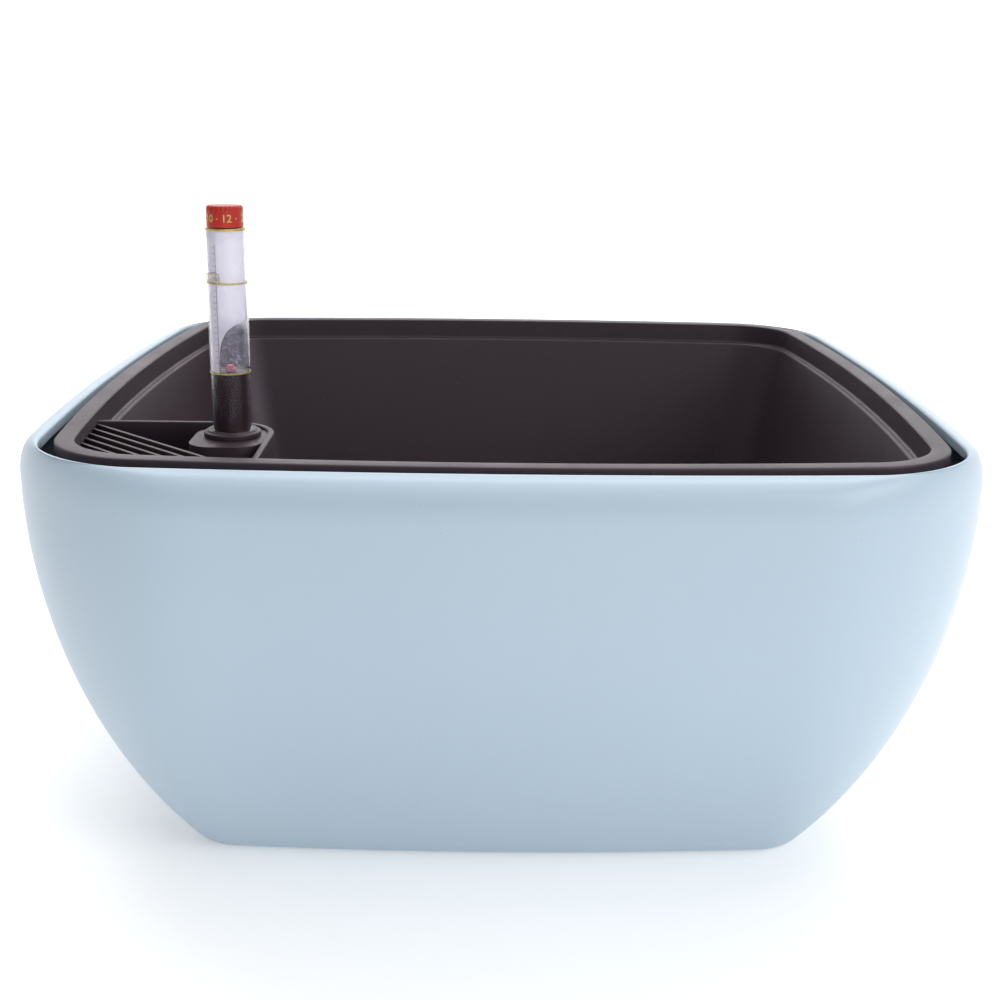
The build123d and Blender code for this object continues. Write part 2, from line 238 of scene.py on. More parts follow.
def makePlanTree():
    # Lays out rows of points round four bowed sides and four corner arcs. Each point says how far
    # out its row's sides are, its corner radius and bow radius, which of the eight arcs it is on
    # and how far along it.
    tree, given = newGeometryTree("bowedSquare", [("Material", "Material", None), ("Scale", "Float", 1.0)])

    def named(label):
        return addNode(tree, "GeometryNodeInputNamedAttribute", {"Name": label}, data_type="FLOAT")

    half, corner, bow, height = named("half"), named("corner"), named("bow"), named("height")
    arc, along = named("arc"), named("along")
    back = bow - half
    reach = (((bow - corner) * (bow - corner) * 2 - back * back).maths("SQRT") - back) / 2
    sideAngle = reach.maths("ARCTAN2", reach + back)
    onCorner = arc.maths("MODULO", 2.0)
    quarter = (arc / 2).maths("FLOOR") * (math.pi / 2)
    sideTurn = (along * 2 - 1) * sideAngle
    cornerTurn = sideAngle + along * (sideAngle * -2 + math.pi / 2)
    turn = onCorner.blend(sideTurn, cornerTurn)
    radius = onCorner.blend(bow, corner)
    centreX = onCorner.blend(back * -1, reach)
    centreY = onCorner * reach
    x = centreX + radius * turn.maths("COSINE")
    y = centreY + radius * turn.maths("SINE")
    cosine, sine = quarter.maths("COSINE"), quarter.maths("SINE")
    place = addNode(tree, "ShaderNodeCombineXYZ",
                    {"X": (x * cosine - y * sine) * given["Scale"],
                     "Y": (x * sine + y * cosine) * given["Scale"], "Z": height})
    moved = addNode(tree, "GeometryNodeSetPosition", {"Geometry": given["Geometry"], "Position": place})
    endTree(tree, moved, given["Material"])
    return tree


planTree = makePlanTree()


def planPiece(name, rows, material, sideSteps=36, cornerSteps=20, holed=False):
    # rows are (half, corner, bow, height), from the underside out, up, over and down inside; the two
    # ends are flat, or meet through a hole in the middle
    ring = [(arc, step / count) for arc in range(8)
            for count in ((cornerSteps if arc % 2 else sideSteps),) for step in range(count)]
    wide = len(ring)
    last = len(rows) - 1
    faces = [] if holed else [list(range(wide))[::-1], [last * wide + step for step in range(wide)]]
    for row in range(last + 1 if holed else last):
        for step in range(wide):
            after = (step + 1) % wide
            low, high = row * wide, (row + 1) % len(rows) * wide
            faces.append([low + step, low + after, high + after, high + step])
    piece = newPiece(name, [(0, 0, 0)] * (wide * len(rows)), faces)
    columns = {"half": 0, "corner": 1, "bow": 2, "height": 3}
    for label, column in columns.items():
        store = piece.data.attributes.new(label, "FLOAT", "POINT")
        store.data.foreach_set("value", [row[column] for row in rows for _ in ring])
    for label, column in (("arc", 0), ("along", 1)):
        store = piece.data.attributes.new(label, "FLOAT", "POINT")
        store.data.foreach_set("value", [float(spot[column]) for _ in rows for spot in ring])
    runTree(piece, planTree, {"Material": material, "Scale": 1.0})
    for label in ("half", "corner", "bow", "height", "arc", "along"):
        piece.data.attributes.remove(piece.data.attributes[label])
    return outward(piece)


def makeDrillTree():
    # Cuts a round hole at every point of another object; each point carries its hole's radius.
    tree, given = newGeometryTree("drillHoles", [("Spots", "Object", None), ("Depth", "Float", 0.02),
                                                 ("Sides", "Int", 40), ("Material", "Material", None)])
    spots = addNode(tree, "GeometryNodeObjectInfo", {"Object": given["Spots"]}, output=4)
    drill = addNode(tree, "GeometryNodeMeshCylinder",
                    {"Vertices": given["Sides"], "Radius": 1.0, "Depth": given["Depth"]})
    radius = addNode(tree, "GeometryNodeInputNamedAttribute", {"Name": "radius"}, data_type="FLOAT")
    size = addNode(tree, "ShaderNodeCombineXYZ", {"X": radius, "Y": radius, "Z": 1.0})
    drills = addNode(tree, "GeometryNodeInstanceOnPoints",
                     {"Points": spots, "Instance": drill, "Scale": size})
    drills = addNode(tree, "GeometryNodeRealizeInstances", {"Geometry": drills})
    cut = tree.nodes.new("GeometryNodeMeshBoolean")
    cut.operation = "DIFFERENCE"
    tree.links.new(given["Geometry"].socket, cut.inputs[0])
    tree.links.new(drills.socket, cut.inputs[1])
    endTree(tree, Value(tree, cut.outputs[0]), given["Material"])
    return tree


drillTree = makeDrillTree()


def drillPiece(piece, holes, depth, sides, material):
    # holes are (x, y, z, radius)
    spots = newPiece(piece.name + "Spots", [hole[:3] for hole in holes], [])
    store = spots.data.attributes.new("radius", "FLOAT", "POINT")
    store.data.foreach_set("value", [hole[3] for hole in holes])
    runTree(piece, drillTree, {"Spots": spots, "Depth": depth, "Sides": sides, "Material": material})
    bpy.data.objects.remove(spots)
    return piece


def newMaterial(name):
    material = bpy.data.materials.new(name)
    material.use_nodes = True
    tree = material.node_tree
    shader = tree.nodes["Principled BSDF"]
    return material, tree, shader


def objectPlace(tree, scale=(1, 1, 1)):
    coordinates = tree.nodes.new("ShaderNodeTexCoord")
    mapping = tree.nodes.new("ShaderNodeMapping")
    mapping.inputs["Scale"].default_value = scale
    tree.links.new(coordinates.outputs["Object"], mapping.inputs["Vector"])
    return Value(tree, mapping.outputs["Vector"])


def noise(tree, vector, scale, detail=4.0, roughness=0.5, distortion=0.0):
    return addNode(tree, "ShaderNodeTexNoise", {"Vector": vector, "Scale": scale, "Detail": detail,
                                                "Roughness": roughness, "Distortion": distortion})


def ramp(tree, value, low, high, fromValue=0.0, toValue=1.0):
    # value between low and high becomes fromValue to toValue, held at both ends
    return addNode(tree, "ShaderNodeMapRange", {"Value": value, "From Min": low, "From Max": high,
                                                "To Min": fromValue, "To Max": toValue})


def colourMix(tree, share, first, second):
    node = tree.nodes.new("ShaderNodeMix")
    node.data_type = "RGBA"
    feed(tree, node.inputs["Factor"], share)
    feed(tree, node.inputs["A"], first)
    feed(tree, node.inputs["B"], second)
    return Value(tree, node.outputs["Result"])


def bumps(tree, heights, shader):
    # heights are (value, depth in metres), laid on each other
    normal = None
    for value, depth in heights:
        node = tree.nodes.new("ShaderNodeBump")
        node.inputs["Strength"].default_value = 1.0
        node.inputs["Distance"].default_value = depth
        tree.links.new(value.socket, node.inputs["Height"])
        if normal is not None:
            tree.links.new(normal.socket, node.inputs["Normal"])
        normal = Value(tree, node.outputs["Normal"])
    tree.links.new(normal.socket, shader.inputs["Normal"])


def srgb(red, green, blue):
    def linear(level):
        share = level / 255
        return share / 12.92 if share <= 0.04045 else ((share + 0.055) / 1.055) ** 2.4
    return (linear(red), linear(green), linear(blue), 1.0)


def mouldedPlastic(name, settings):
    # Moulded plastic: cloudy colour, fine grain, slow waves, thin scratches and small specks.
    material, tree, shader = newMaterial(name)
    place = objectPlace(tree)
    clouds = noise(tree, place, settings["cloudScale"], detail=3.0)
    colour = colourMix(tree, ramp(tree, clouds, 0.3, 0.7), settings["colour"], settings["cloudColour"])
    specks = noise(tree, place, settings["speckScale"], detail=2.0)
    speckShare = ramp(tree, specks, settings["speckLevel"], settings["speckLevel"] + 0.03)
    colour = colourMix(tree, speckShare * settings["speckStrength"], colour, settings["speckColour"])
    streaks = noise(tree, objectPlace(tree, settings["scratchStretch"]), settings["scratchScale"],
                    detail=6.0, roughness=0.7, distortion=0.6)
    scratchBand = (streaks - 0.5).maths("ABSOLUTE")
    patches = ramp(tree, noise(tree, place, settings["cloudScale"] * 2.3), 0.52, 0.68)
    scratches = ramp(tree, scratchBand, 0.0, settings["scratchWidth"], 1.0, 0.0) * patches
    colour = colourMix(tree, scratches * settings["scratchStrength"], colour, settings["scratchColour"])
    tree.links.new(colour.socket, shader.inputs["Base Color"])
    rough = ramp(tree, noise(tree, place, settings["cloudScale"] * 5, detail=5.0), 0.25, 0.75,
                 settings["roughness"] - settings["roughSpread"],
                 settings["roughness"] + settings["roughSpread"])
    rough = rough + scratches * 0.15
    tree.links.new(rough.socket, shader.inputs["Roughness"])
    grain = noise(tree, place, settings["grainScale"], detail=2.0)
    waves = noise(tree, place, settings["waveScale"], detail=1.0)
    bumps(tree, [(waves, settings["waveDepth"]), (grain, settings["grainDepth"]),
                 (scratches, -settings["grainDepth"])], shader)
    shader.inputs["Specular IOR Level"].default_value = settings["specular"]
    shader.inputs["Specular Tint"].default_value = settings["specularTint"]
    shader.inputs["Coat Weight"].default_value = settings["coat"]
    shader.inputs["Coat Roughness"].default_value = settings["coatRoughness"]
    return material


potFinish = {
    "colour": srgb(168, 186, 201), "cloudColour": srgb(171, 189, 203), "cloudScale": 5.0,
    "speckScale": 900.0, "speckLevel": 0.74, "speckStrength": 0.35, "speckColour": srgb(120, 135, 150),
    "scratchStretch": (1.0, 1.0, 7.0), "scratchScale": 9.0, "scratchWidth": 0.0025,
    "scratchStrength": 0.25, "scratchColour": srgb(205, 216, 226),
    "roughness": 0.40, "roughSpread": 0.03, "grainScale": 1500.0, "grainDepth": 0.00002,
    "waveScale": 9.0, "waveDepth": 0.0006, "specular": 0.42, "coat": 0.12, "coatRoughness": 0.28,
    "specularTint": (1.0, 1.0, 1.0, 1.0),
}
linerFinish = {
    "colour": srgb(45, 35, 41), "cloudColour": srgb(49, 38, 44), "cloudScale": 7.0,
    "speckScale": 800.0, "speckLevel": 0.73, "speckStrength": 0.3, "speckColour": srgb(125, 112, 116),
    "scratchStretch": (1.0, 1.0, 5.0), "scratchScale": 12.0, "scratchWidth": 0.003,
    "scratchStrength": 0.12, "scratchColour": srgb(120, 108, 112),
    "roughness": 0.46, "roughSpread": 0.05, "grainScale": 1800.0, "grainDepth": 0.00003,
    "waveScale": 14.0, "waveDepth": 0.0005, "specular": 0.47, "coat": 0.0, "coatRoughness": 0.3,
    "specularTint": (1.0, 0.88, 1.0, 1.0),
}
stemFinish = dict(linerFinish, colour=srgb(30, 15, 17), cloudColour=srgb(35, 18, 20), cloudScale=60.0,
                  scratchScale=90.0, roughness=0.42, specular=0.3, waveScale=120.0, waveDepth=0.00005,
                  grainDepth=0.000004)
dialFinish = dict(potFinish, colour=srgb(164, 20, 9), cloudColour=srgb(176, 27, 14), cloudScale=120.0,
                  speckColour=srgb(110, 15, 15), scratchScale=160.0, scratchColour=srgb(215, 90, 80),
                  roughness=0.34, waveScale=150.0, waveDepth=0.00005, grainDepth=0.000008, coat=0.1)
tipFinish = dict(dialFinish, colour=srgb(214, 60, 92), cloudColour=srgb(196, 44, 74))
bungFinish = dict(linerFinish, colour=srgb(70, 70, 72), cloudColour=srgb(78, 78, 80), cloudScale=60.0)
sealFinish = dict(linerFinish, colour=srgb(28, 28, 30), cloudColour=srgb(36, 36, 38), cloudScale=80.0,
                  roughness=0.62, specular=0.3)
foamFinish = dict(linerFinish, colour=srgb(232, 230, 222), cloudColour=srgb(222, 219, 208), cloudScale=90.0,
                  roughness=0.8, roughSpread=0.08, grainScale=2500.0, grainDepth=0.00012, specular=0.25)
inkFinish = dict(linerFinish, colour=srgb(96, 88, 100), cloudColour=srgb(120, 112, 124), cloudScale=900.0,
                 waveDepth=0.00002, grainDepth=0.000005)
rodFinish = dict(potFinish, colour=srgb(228, 228, 228), cloudColour=srgb(220, 221, 222), cloudScale=70.0,
                 waveDepth=0.00004, roughness=0.35)

potPlastic = mouldedPlastic("potBlue", potFinish)
linerPlastic = mouldedPlastic("linerBrown", linerFinish)
dialPlastic = mouldedPlastic("dialRed", dialFinish)
tipPlastic = mouldedPlastic("tipRed", tipFinish)
bungPlastic = mouldedPlastic("bungGrey", bungFinish)
sealRubber = mouldedPlastic("sealRubber", sealFinish)
floatFoam = mouldedPlastic("floatFoam", foamFinish)
rodPlastic = mouldedPlastic("rodWhite", rodFinish)
stemPlastic = mouldedPlastic("stemBrown", stemFinish)
scaleInk = mouldedPlastic("scaleInk", inkFinish)


def makeGoldPrint():
    # Gold ink: a thin metallic line, a little worn and uneven.
    material, tree, shader = newMaterial("goldPrint")
    place = objectPlace(tree)
    worn = noise(tree, place, 700.0, detail=4.0)
    colour = colourMix(tree, ramp(tree, worn, 0.35, 0.7), srgb(208, 190, 112), srgb(158, 142, 76))
    tree.links.new(colour.socket, shader.inputs["Base Color"])
    tree.links.new(ramp(tree, worn, 0.3, 0.7, 0.28, 0.45).socket, shader.inputs["Roughness"])
    bumps(tree, [(worn, 0.00001)], shader)
    shader.inputs["Metallic"].default_value = 0.55
    return material


def makeClearTube():
    # Clear moulded acrylic with a faint lilac tint and soft draw lines along it, and a painted shade that
    # darkens its colour where it is seen edge-on.
    material, tree, shader = newMaterial("clearTube")
    lines = noise(tree, objectPlace(tree, (1.0, 1.0, 0.04)), 600.0, detail=2.0)
    dust = noise(tree, objectPlace(tree), 1400.0, detail=3.0)
    colour = colourMix(tree, ramp(tree, dust, 0.4, 0.8), srgb(246, 244, 252), srgb(236, 233, 244))
    # painted shade: the base colour turns dark grey where the tube's surface is seen edge-on
    edge = tree.nodes.new("ShaderNodeLayerWeight")
    edge.inputs["Blend"].default_value = 0.5
    edgeShade = ramp(tree, Value(tree, edge.outputs["Facing"]), 0.62, 0.96)
    colour = colourMix(tree, edgeShade, colour, srgb(92, 90, 102))
    tree.links.new(colour.socket, shader.inputs["Base Color"])
    tree.links.new(ramp(tree, dust, 0.35, 0.8, 0.02, 0.09).socket, shader.inputs["Roughness"])
    bumps(tree, [(lines, 0.000009)], shader)
    shader.inputs["Alpha"].default_value = 0.4
    shader.inputs["Transmission Weight"].default_value = 1.0
    shader.inputs["IOR"].default_value = 1.08
    shader.inputs["Coat Weight"].default_value = 0.5
    shader.inputs["Coat Roughness"].default_value = 0.04
    shader.inputs["Coat IOR"].default_value = 1.5
    return material


def makeScaleFilm():
    # Milky printed film curled inside the tube.
    material, tree, shader = newMaterial("scaleFilm")
    cloud = noise(tree, objectPlace(tree), 260.0, detail=4.0)
    colour = colourMix(tree, ramp(tree, cloud, 0.3, 0.7), srgb(246, 244, 252), srgb(236, 233, 246))
    tree.links.new(colour.socket, shader.inputs["Base Color"])
    tree.links.new(ramp(tree, cloud, 0.3, 0.7, 0.42, 0.55).socket, shader.inputs["Roughness"])
    bumps(tree, [(cloud, 0.00002)], shader)
    shader.inputs["Alpha"].default_value = 0.72
    return material


def makeTubeMist():
    # Small pale drops scattered on clear plastic.
    material, tree, shader = newMaterial("tubeMist")
    place = objectPlace(tree)
    drops = noise(tree, place, 2300.0, detail=2.0)
    haze = noise(tree, place, 260.0, detail=3.0)
    colour = colourMix(tree, ramp(tree, haze, 0.35, 0.7), srgb(176, 178, 200), srgb(206, 207, 224))
    tree.links.new(colour.socket, shader.inputs["Base Color"])
    share = ramp(tree, drops, 0.46, 0.72, 0.06, 0.75) * ramp(tree, haze, 0.3, 0.65, 0.45, 1.0)
    tree.links.new(share.socket, shader.inputs["Alpha"])
    tree.links.new(ramp(tree, drops, 0.4, 0.7, 0.5, 0.25).socket, shader.inputs["Roughness"])
    bumps(tree, [(drops, 0.00003)], shader)
    return material


goldPrint = makeGoldPrint()
tubeMist = makeTubeMist()
clearPlastic = makeClearTube()
scaleFilm = makeScaleFilm()
print("finishes made")


pot = {
    "lipRise": 0.0165, "lipInset": 0.014, "flare": 0.065, "girthCorner": 0.093, "baseCorner": 0.020,
    "girthBow": 1.6, "mouthCorner": 0.050, "mouthBow": 2.1, "wall": 0.004, "baseRound": 0.010,
    "footDepth": 0.0025, "footRing": 0.011, "floorTop": 0.0065, "lipThickness": 0.0055,
    "crestRound": 0.0016, "crestGap": 0.0004, "mouthEdge": 0.0008, "floorRound": 0.006,
    "floorRun": 0.004, "floorTail": 0.002, "footEdge": 0.0007, "recessEdge": 0.0003, "recessRun": 0.004,
    "recessFoot": 0.001, "drainRadius": 0.009, "drainEdge": 0.0005, "leastCorner": 0.003,
}
pot["half"] = (potHigh.x - potLow.x) / 2
pot["crest"] = potHigh.z
pot["girth"] = pot["crest"] - pot["lipRise"]
pot["mouthHalf"] = pot["half"] - pot["lipInset"]
pot["sideRadius"] = (pot["flare"] ** 2 + pot["girth"] ** 2) / (2 * pot["flare"])


def sideInset(z):
    return pot["sideRadius"] - math.sqrt(pot["sideRadius"] ** 2 - (pot["girth"] - z) ** 2)


def potRow(inset, z, wall=0.0):
    share = min(inset / pot["flare"], 1)
    corner = pot["girthCorner"] - (pot["girthCorner"] - pot["baseCorner"]) * share
    corner -= max(inset - pot["flare"], 0)
    return (pot["half"] - inset - wall, max(corner - wall, pot["leastCorner"]),
            pot["girthBow"] - inset - wall, z)


def shoulderRow(wall, rise, angle):
    share = 1 - math.cos(angle)
    half = pot["half"] - wall
    corner = pot["girthCorner"] - wall
    return (half + (pot["mouthHalf"] - half) * share, corner + (pot["mouthCorner"] - corner) * share,
            pot["girthBow"] + (pot["mouthBow"] - pot["girthBow"]) * share,
            pot["girth"] + rise * math.sin(angle))


def holeRow(out, z):
    # a round row, for the drain hole
    radius = pot["drainRadius"] + out
    return (radius, radius / 2, radius, z)


def mouthRow(out, z):
    return (pot["mouthHalf"] + out, pot["mouthCorner"] + out, pot["mouthBow"] + out, z)


def potRows():
    # From the drain hole's underside, out and up the side, over the lip, down inside and back.
    reach = pot["sideRadius"] - pot["baseRound"]
    depth = pot["girth"] - pot["baseRound"]
    run = math.sqrt(reach ** 2 - depth ** 2)
    baseInset = pot["sideRadius"] - run
    baseEnd = -math.atan2(depth, run)
    recess = baseInset + pot["footRing"]
    edge, drainEdge, roof = pot["footEdge"], pot["drainEdge"], pot["footDepth"]
    rows = [holeRow(0.0, roof + drainEdge), holeRow(drainEdge, roof)]
    rows += [potRow(recess + pot["recessRun"], roof), potRow(recess + pot["recessFoot"], roof)]
    rows += [potRow(recess, roof - pot["recessEdge"]), potRow(recess, edge)]
    rows += [potRow(recess - edge * (1 - math.cos(a)), edge * (1 - math.sin(a))) for a in (0.5, 1.0, 1.5)]
    for step in range(9):
        angle = -math.pi / 2 + (baseEnd + math.pi / 2) * step / 9
        rows.append(potRow(baseInset - pot["baseRound"] * math.cos(angle),
                           pot["baseRound"] * (1 + math.sin(angle))))
    low = pot["baseRound"] * (1 + math.sin(baseEnd))
    rows += [potRow(sideInset(z), z) for z in
             (low + (pot["girth"] - low) * step / 30 for step in range(30))]
    lastAngle = math.acos((pot["crestRound"] + pot["crestGap"]) / pot["lipInset"])
    rows += [shoulderRow(0.0, pot["lipRise"], lastAngle * step / 18) for step in range(19)]
    top = rows[-1][3]
    for step in range(1, 7):
        angle = math.pi / 2 * step / 6
        rows.append(mouthRow(pot["crestRound"] * (1 - math.sin(angle)),
                             top - pot["crestRound"] * (1 - math.cos(angle))))
    insideRise = pot["lipRise"] - pot["lipThickness"]
    rows.append(mouthRow(0.0, pot["girth"] + insideRise + pot["mouthEdge"]))
    rows += [shoulderRow(pot["wall"], insideRise, math.radians(84 - 12 * step)) for step in range(7)]
    floorSide = pot["floorTop"] + pot["floorRound"]
    rows += [potRow(sideInset(z), z, pot["wall"]) for z in
             (pot["girth"] - (pot["girth"] - floorSide) * step / 20 for step in range(21))]
    foot = rows[-1]
    for step in range(1, 6):
        angle = math.pi / 2 * step / 5
        inward = pot["floorRound"] * (1 - math.cos(angle)) + pot["floorRun"] * math.sin(angle)
        rows.append((foot[0] - inward, max(foot[1] - inward, 0.006), foot[2] - inward,
                     floorSide - pot["floorRound"] * math.sin(angle)))
    last, tail = rows[-1], pot["floorTail"]
    rows.append((last[0] - tail, max(last[1] - tail, 0.004), last[2] - tail, pot["floorTop"]))
    rows += [holeRow(drainEdge, pot["floorTop"]), holeRow(0.0, pot["floorTop"] - drainEdge)]
    return rows


def makePot():
    piece = planPiece("potShell", potRows(), potPlastic, holed=True)
    smoothShade(piece, 38)
    return finishPiece(piece, None, "pot", "pot_blue", "outer_pot")


makePot()
print("pot made")


liner = {
    "rimCorner": 0.040, "rimBow": 1.450, "rimWidth": 0.00775, "rimThickness": 0.0022, "skirt": 0.0065,
    "bandDepth": 0.0105, "ledge": 0.0025, "taper": 11.2, "wall": 0.0025, "cornerTaper": 0.005,
    "rimRound": 0.0009, "skirtRound": 0.0004, "floorRound": 0.004, "ledgeRound": 0.0016,
    "bandRound": 0.0012, "hollowRound": 0.0003, "underRound": 0.0006, "footRound": 0.0015,
    "floorRun": 0.012, "leastCorner": 0.003,
    "dripRadius": 0.003, "dripPitch": 0.038,
}
liner["rimHalf"] = (linerHigh.x - linerLow.x) / 2
liner["top"] = linerHigh.z
liner["under"] = linerLow.z
liner["floor"] = liner["under"] + liner["wall"]
liner["ledgeZ"] = liner["top"] - liner["bandDepth"]
liner["bandHalf"] = liner["rimHalf"] - liner["rimWidth"]
liner["wallHalf"] = liner["bandHalf"] - liner["ledge"]
liner["slope"] = math.tan(math.radians(liner["taper"]))


def wallHalfAt(z):
    return liner["wallHalf"] - max(liner["ledgeZ"] - z, 0) * liner["slope"]


def linerRow(half, z):
    # the plan at a distance out and a height: rim and band are offsets, the wall tapers
    if z >= liner["ledgeZ"] - liner["wall"] - 1e-6 and half > liner["wallHalf"] + 1e-6:
        inward = liner["rimHalf"] - half
        return (half, liner["rimCorner"] - inward, liner["rimBow"] - inward, z)
    drop = liner["ledgeZ"] - z
    corner = liner["rimCorner"] - liner["rimWidth"] - liner["ledge"]
    corner -= liner["cornerTaper"] * drop / (liner["ledgeZ"] - liner["floor"])
    bow = liner["rimBow"] - liner["rimWidth"] - liner["ledge"] - drop * liner["slope"]
    out = half - wallHalfAt(z)
    return (half, max(corner + out, liner["leastCorner"]), bow + out, z)


def linerProfile():
    # (distance, height, rounding) from the floor up the inside, over the rim and down the outside
    floorHalf = wallHalfAt(liner["floor"])
    bandOut = liner["bandHalf"] + liner["wall"]
    rimUnder = liner["top"] - liner["rimThickness"]
    skirtIn = liner["rimHalf"] - liner["rimThickness"]
    skirtLow = liner["top"] - liner["skirt"]
    ledgeUnder = liner["ledgeZ"] - liner["wall"]
    under = wallHalfAt(liner["under"]) + liner["wall"]
    floorEnd = floorHalf - liner["floorRun"]
    hollow = liner["hollowRound"]
    return [
        (floorEnd, liner["floor"], 0), (floorHalf, liner["floor"], liner["floorRound"]),
        (liner["wallHalf"], liner["ledgeZ"], liner["ledgeRound"]),
        (liner["bandHalf"], liner["ledgeZ"], liner["bandRound"]),
        (liner["bandHalf"], liner["top"], liner["rimRound"]),
        (liner["rimHalf"], liner["top"], liner["rimRound"]),
        (liner["rimHalf"], skirtLow, liner["skirtRound"]), (skirtIn, skirtLow, liner["skirtRound"]),
        (skirtIn, rimUnder, hollow), (bandOut, rimUnder, hollow),
        (bandOut, ledgeUnder, liner["underRound"]),
        (wallHalfAt(ledgeUnder) + liner["wall"], ledgeUnder, hollow),
        (under, liner["under"], liner["footRound"]), (floorEnd, liner["under"], 0),
    ]


def basketCentres():
    places = []
    for label in ("front_left", "front_right", "rear_left", "rear_right"):
        low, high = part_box("wick_basket_" + label)
        places.append(((low.x + high.x) / 2, (low.y + high.y) / 2, (high.x - low.x) / 2))
    return places


def dripHoles():
    # a square grid over the planting floor that keeps off the pocket and the baskets
    keepOff = basketCentres()[0][2] + 2 * liner["dripRadius"]
    count = int((wallHalfAt(liner["floor"]) - 3 * liner["dripRadius"]) / liner["dripPitch"] - 0.5)
    holes = []
    for column in range(-count, count + 1):
        for row in range(-count, count + 1):
            x, y = column * liner["dripPitch"], row * liner["dripPitch"]
            inPocket = x < pocket["sideX"] + keepOff / 2 and y < pocket["rearY"] + keepOff / 2
            nearBasket = any(math.hypot(x - bx, y - by) < keepOff for bx, by, _ in basketCentres())
            if not inPocket and not nearBasket:
                holes.append((x, y, liner["floor"], liner["dripRadius"]))
    return holes


pocket = {
    "thick": 0.0025, "drop": 0.0043, "corner": 0.020, "rearOffset": 0.02075, "sideOffset": 0.0153,
    "edge": 0.0007, "barCount": 6, "barWidth": 0.0015, "barHeight": 0.0045, "barPitch": 0.0056,
    "firstBar": 0.0296, "barRound": 0.0004, "barReach": 0.2, "barTurn": 45, "sink": 0.0012,
    "wallSink": 0.0013, "floorSink": 0.001, "ledgeLead": 0.0007, "spaceBelow": 0.02, "spaceAbove": 0.01,
    "fillRadius": 0.006, "fillPitch": 0.019, "fillGap": 0.005, "guideRadius": 0.0095,
    "basketLip": 0.0037, "drillDepth": 0.012, "drillSides": 40,
}
pocket["sideX"] = gaugeX + pocket["sideOffset"]
pocket["rearY"] = gaugeY + pocket["rearOffset"]
pocket["top"] = liner["top"] - pocket["drop"]


def makeLiner():
    rows = [linerRow(half, z) for half, z in softProfile(linerProfile())]
    piece = planPiece("linerShell", rows[::-1], linerPlastic)
    holes = dripHoles()
    holes += [(x, y, liner["floor"], radius - pocket["basketLip"]) for x, y, radius in basketCentres()]
    fillX = seatLow.x - pocket["fillGap"] - pocket["fillRadius"]
    for side in (-0.5, 0.5):
        holes.append((fillX, gaugeY + side * pocket["fillPitch"], liner["floor"], pocket["fillRadius"]))
    holes.append((gaugeX, gaugeY, liner["floor"], pocket["guideRadius"]))
    drillPiece(piece, holes, pocket["drillDepth"], pocket["drillSides"], linerPlastic)
    smoothShade(piece, 38)
    return finishPiece(piece, None, "liner", "liner_brown", "liner")


def sideFace(across, z):
    # how far out the liner's inner face is at height z, that far along the side
    half, _, bow, _ = linerRow(wallHalfAt(z), z) if z < liner["ledgeZ"] else linerRow(liner["bandHalf"], z)
    return math.sqrt(bow ** 2 - across ** 2) - (bow - half)


def makePartition():
    # The pocket's wall, in plan an L with a round corner, sunk a little into the liner at both ends.
    half = pocket["thick"] / 2
    edge = pocket["edge"]
    top = pocket["top"]
    heights = [liner["floor"] - pocket["floorSink"], liner["ledgeZ"] - pocket["ledgeLead"],
               liner["ledgeZ"], top - edge]
    section = [(-half, z) for z in heights]
    for step in range(1, 5):
        angle = math.pi / 2 * step / 4
        section.append((-half + edge * (1 - math.cos(angle)), top - edge * (1 - math.sin(angle))))
    section += [(-across, z) for across, z in reversed(section)]
    centreX = pocket["sideX"] - pocket["corner"]
    centreY = pocket["rearY"] - pocket["corner"]
    vertices, faces = [], []
    for across, z in section:
        level = max(z, liner["floor"])
        endX = -sideFace(pocket["rearY"] + across, level) - pocket["wallSink"]
        endY = -sideFace(pocket["sideX"] + across, level) - pocket["wallSink"]
        rail = [(endX + (centreX - endX) * step / 8, pocket["rearY"] + across) for step in range(8)]
        for step in range(17):
            angle = math.pi / 2 * (1 - step / 16)
            reach = pocket["corner"] + across
            rail.append((centreX + reach * math.cos(angle), centreY + reach * math.sin(angle)))
        rail += [(pocket["sideX"] + across, centreY + (endY - centreY) * step / 8) for step in range(1, 9)]
        vertices += [(x, y, z) for x, y in rail]
    wide = len(vertices) // len(section)
    for row in range(len(section)):
        low, high = row * wide, ((row + 1) % len(section)) * wide
        faces += [[low + step, low + step + 1, high + step + 1, high + step] for step in range(wide - 1)]
    for row in range(len(section) // 2 - 1):
        other = len(section) - 1 - row
        faces += [[spot * wide + end for spot in (row, row + 1, other - 1, other)] for end in (0, wide - 1)]
    piece = smoothShade(outward(newPiece("pocketPartition", vertices, faces)), 40)
    return finishPiece(piece, linerPlastic, "liner", "liner_brown")


